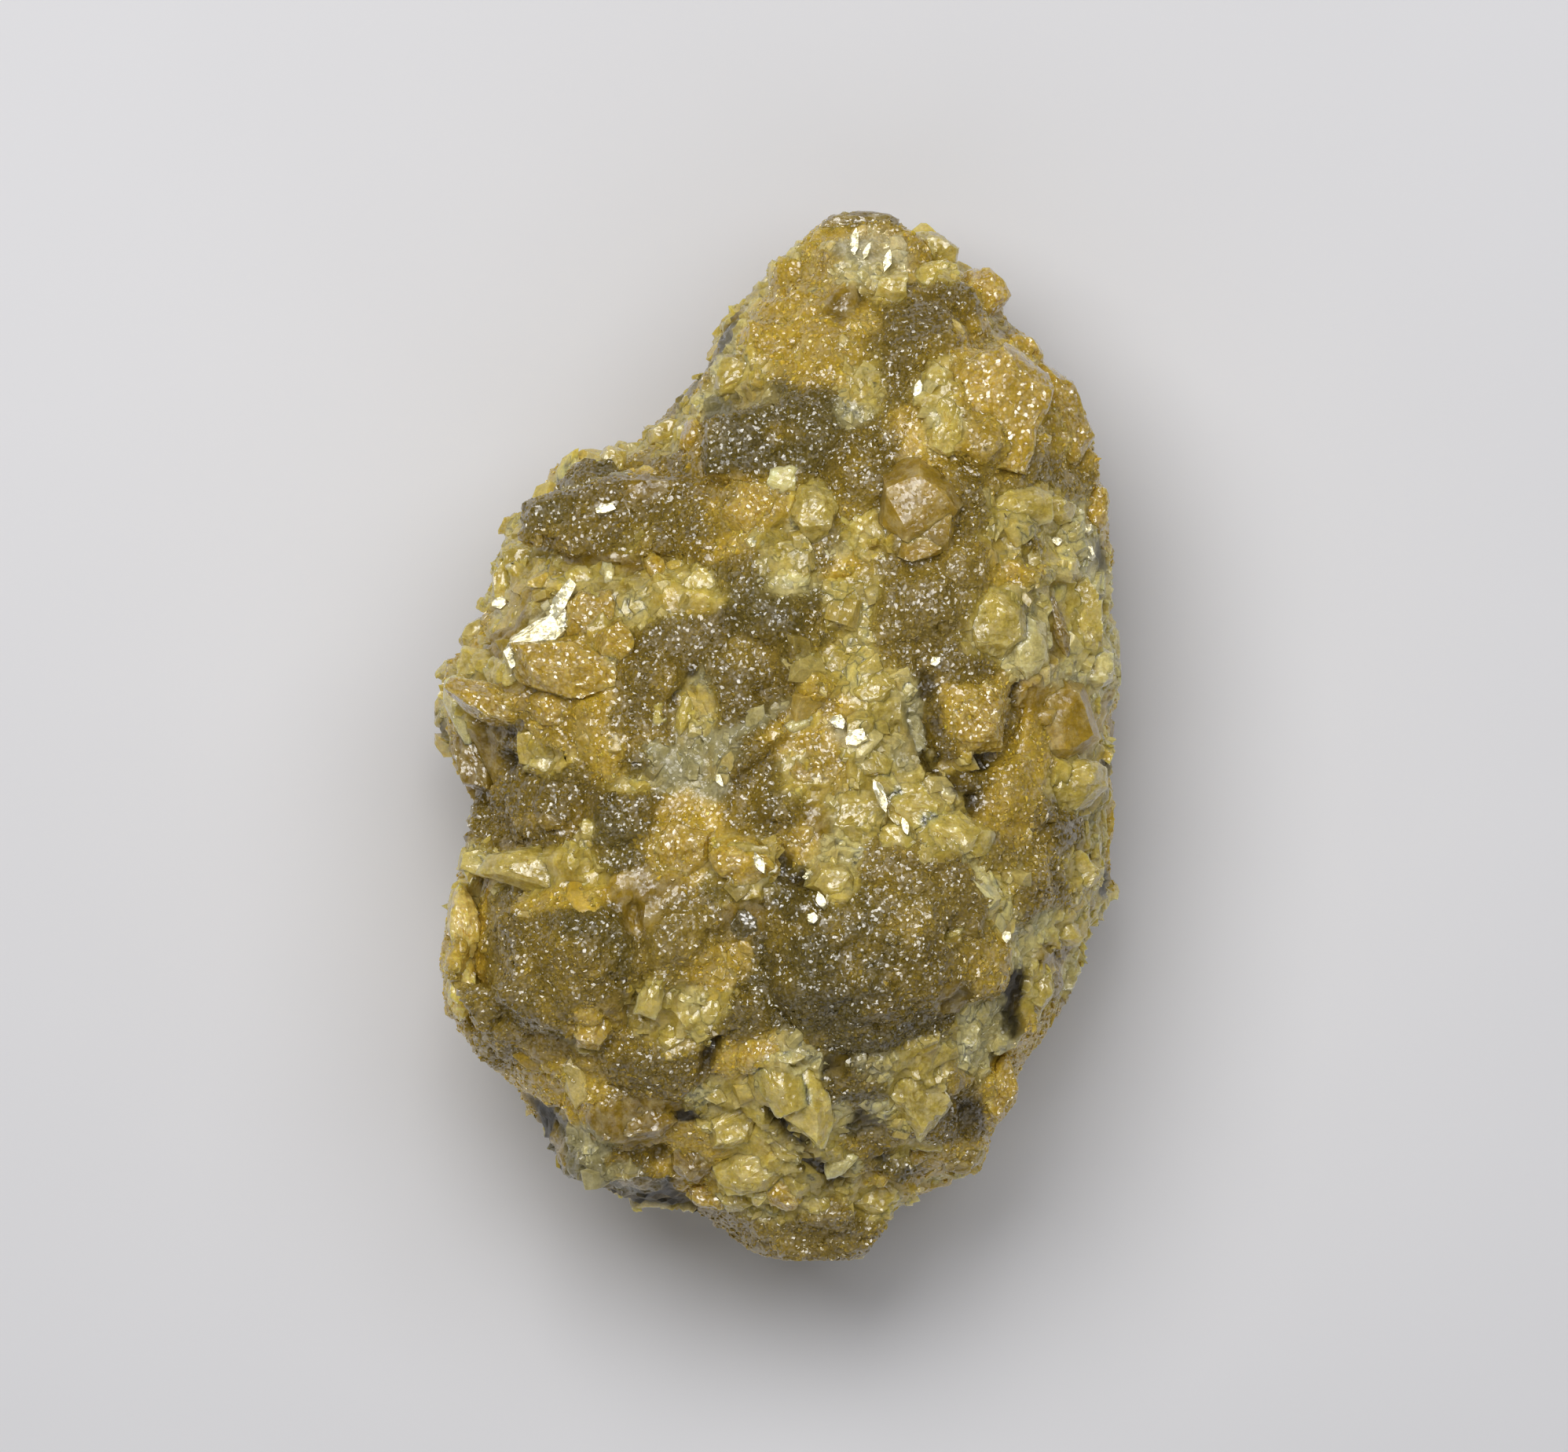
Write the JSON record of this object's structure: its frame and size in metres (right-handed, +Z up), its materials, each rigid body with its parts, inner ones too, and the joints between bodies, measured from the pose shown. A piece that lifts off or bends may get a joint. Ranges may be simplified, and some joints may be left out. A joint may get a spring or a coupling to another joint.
{
  "type": "rough diamond",
  "caption": "Uncut, strongly included rough diamond: an elongated lump of intergrown crystals, lying on one flat cleavage face.",
  "frame": {"origin": "under the middle of the stone's bounding box, on the cleavage face it lies on", "axes": "+Y along the stone towards its narrow tip, +X across it, +Z up out of the upper side"},
  "size_m": [0.0066, 0.01, 0.005],
  "materials": {
    "diamond": "rough natural diamond: etched umber and olive crystal faces, broken lemon and honey crystals, adamantine glints"
  },
  "bodies": {
    "root": {"rough_diamond": "diamond"}
  },
  "joints": []
}
